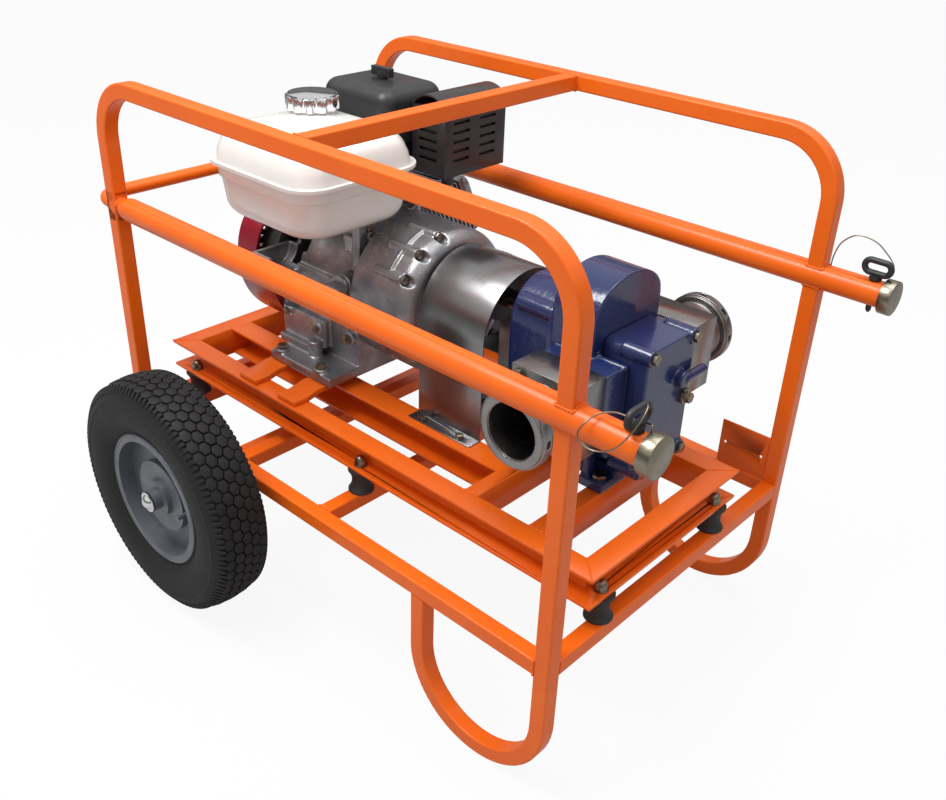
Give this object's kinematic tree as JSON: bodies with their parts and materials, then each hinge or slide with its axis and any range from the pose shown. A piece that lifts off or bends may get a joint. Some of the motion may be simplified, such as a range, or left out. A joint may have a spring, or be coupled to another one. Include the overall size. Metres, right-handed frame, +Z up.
{
  "type": "rotary lobe pump",
  "caption": "Rotary lobe pump coupled to a petrol engine with a reduction gear, on a tubular two-wheeled trolley with sliding handles, skids and rubber-mounted base frame.",
  "frame": {"origin": "on the floor, under the middle of the bounding box", "axes": "+X towards the sliding handles and the pump's front cover, +Z up, +Y towards the air cleaner side"},
  "size_m": [1.113, 0.884, 0.811],
  "materials": {
    "orange_paint": "orange powder coat, satin gloss",
    "navy_paint": "navy blue gloss paint on castings",
    "red_paint": "crimson gloss paint",
    "rim_paint": "silver grey painted pressed steel",
    "cast_aluminium": "bare die cast aluminium",
    "stainless": "machined and polished stainless steel",
    "steel": "zinc plated steel",
    "bare_iron": "bare machined iron and dark steel",
    "chrome": "bright chrome",
    "tank_white": "off-white glossy finish",
    "black_plastic": "black moulded plastic",
    "black_enamel": "black stove enamel on pressed steel",
    "tyre": "black tyre rubber",
    "rubber": "black rubber"
  },
  "bodies": {
    "trolley": {"side_hoop_left": "orange_paint", "side_hoop_right": "orange_paint", "push_rail": "orange_paint", "rear_bar": "orange_paint", "lower_rails": "orange_paint", "cross_bars": "orange_paint", "corner_plate": "orange_paint", "axle_beam": "orange_paint", "axle": "steel", "hub_caps": "chrome", "base_channels": "orange_paint", "base_members": "orange_paint", "isolators": "rubber", "isolator_nuts": "steel", "lanyard_left": "steel", "lanyard_right": "steel", "crankcase": "cast_aluminium", "reduction_case": "cast_aluminium", "cylinder": "cast_aluminium", "rocker_cover": "cast_aluminium", "fan_housing": "red_paint", "recoil_cover": "red_paint", "fuel_tank": "tank_white", "air_cleaner": "black_plastic", "carburettor": "cast_aluminium", "muffler": "bare_iron", "muffler_guard": "black_enamel", "engine_bolts": "steel", "coupling_guard": "stainless", "gear_housing": "navy_paint", "rotor_case": "navy_paint", "front_cover": "navy_paint", "port_blocks": "stainless", "port_nuts": "stainless", "pump_bolts": "steel", "shaft_bearings": "steel"},
    "wheel_left": {"tyre_left": "tyre", "rim_left": "rim_paint"},
    "wheel_right": {"tyre_right": "tyre", "rim_right": "rim_paint"},
    "handle_left": {"handle_left": "steel"},
    "handle_right": {"handle_right": "steel"},
    "pull_pin_left": {"pull_pin_left": "black_plastic"},
    "pull_pin_right": {"pull_pin_right": "black_plastic"},
    "crank": {"crankshaft": "steel", "flywheel": "bare_iron"},
    "drive_line": {"output_shaft": "steel", "coupling_hubs": "bare_iron", "coupling_spider": "rubber", "drive_shaft": "steel", "timing_gear_drive": "bare_iron", "rotor_drive": "stainless"},
    "driven_line": {"driven_shaft": "steel", "timing_gear_driven": "bare_iron", "rotor_driven": "stainless"},
    "fuel_cap": {"fuel_cap": "chrome"},
    "oil_cap": {"oil_cap": "cast_aluminium"},
    "air_cleaner_knob": {"air_cleaner_knob": "black_plastic"},
    "throttle_lever": {"throttle_lever": "steel"},
    "starter_grip": {"starter_grip": "black_plastic"}
  },
  "joints": [
    {"name": "wheel_left_spin", "type": "hinge", "parent": "trolley", "child": "wheel_left", "pos_m": [-0.2655, -0.385, 0.2], "axis": [0, 1, 0], "continuous": true},
    {"name": "wheel_right_spin", "type": "hinge", "parent": "trolley", "child": "wheel_right", "pos_m": [-0.2655, 0.385, 0.2], "axis": [0, 1, 0], "continuous": true},
    {"name": "handle_left_slide", "type": "slide", "parent": "trolley", "child": "handle_left", "axis": [1, 0, 0], "range_m": [0, 0.3]},
    {"name": "handle_right_slide", "type": "slide", "parent": "trolley", "child": "handle_right", "axis": [1, 0, 0], "range_m": [0, 0.3]},
    {"name": "pull_pin_left_lift", "type": "slide", "parent": "trolley", "child": "pull_pin_left", "axis": [0, 0, 1], "range_m": [0, 0.075]},
    {"name": "pull_pin_right_lift", "type": "slide", "parent": "trolley", "child": "pull_pin_right", "axis": [0, 0, 1], "range_m": [0, 0.075]},
    {"name": "crank_spin", "type": "hinge", "parent": "trolley", "child": "crank", "pos_m": [-0.2655, 0.02, 0.478], "axis": [1, 0, 0], "continuous": true},
    {"name": "drive_spin", "type": "hinge", "parent": "trolley", "child": "drive_line", "pos_m": [0.0345, 0.02, 0.532], "axis": [1, 0, 0], "continuous": true},
    {"name": "driven_spin", "type": "hinge", "parent": "trolley", "child": "driven_line", "pos_m": [0.2345, 0.02, 0.432], "axis": [1, 0, 0], "continuous": true},
    {"name": "fuel_cap_twist", "type": "hinge", "parent": "trolley", "child": "fuel_cap", "pos_m": [-0.2705, -0.06, 0.77], "axis": [0, 0, 1], "range_deg": [0, 90]},
    {"name": "oil_cap_turn", "type": "hinge", "parent": "trolley", "child": "oil_cap", "pos_m": [-0.1695, -0.1, 0.506], "axis": [0, -1, 0], "continuous": true},
    {"name": "air_cleaner_knob_turn", "type": "hinge", "parent": "trolley", "child": "air_cleaner_knob", "pos_m": [-0.2775, 0.095, 0.79], "axis": [0, 0, 1], "continuous": true},
    {"name": "throttle_lever_swing", "type": "hinge", "parent": "trolley", "child": "throttle_lever", "pos_m": [-0.1535, 0.055, 0.613], "axis": [0, 0, 1], "range_deg": [-25, 35]},
    {"name": "starter_grip_pull", "type": "slide", "parent": "trolley", "child": "starter_grip", "axis": [-1, 0, 0], "range_m": [0, 0.05], "stiffness_N_per_m": 200}
  ],
  "couplings": [
    {"joint": "drive_spin", "follows": "crank_spin", "ratio": -0.5},
    {"joint": "driven_spin", "follows": "crank_spin", "ratio": 0.5}
  ]
}
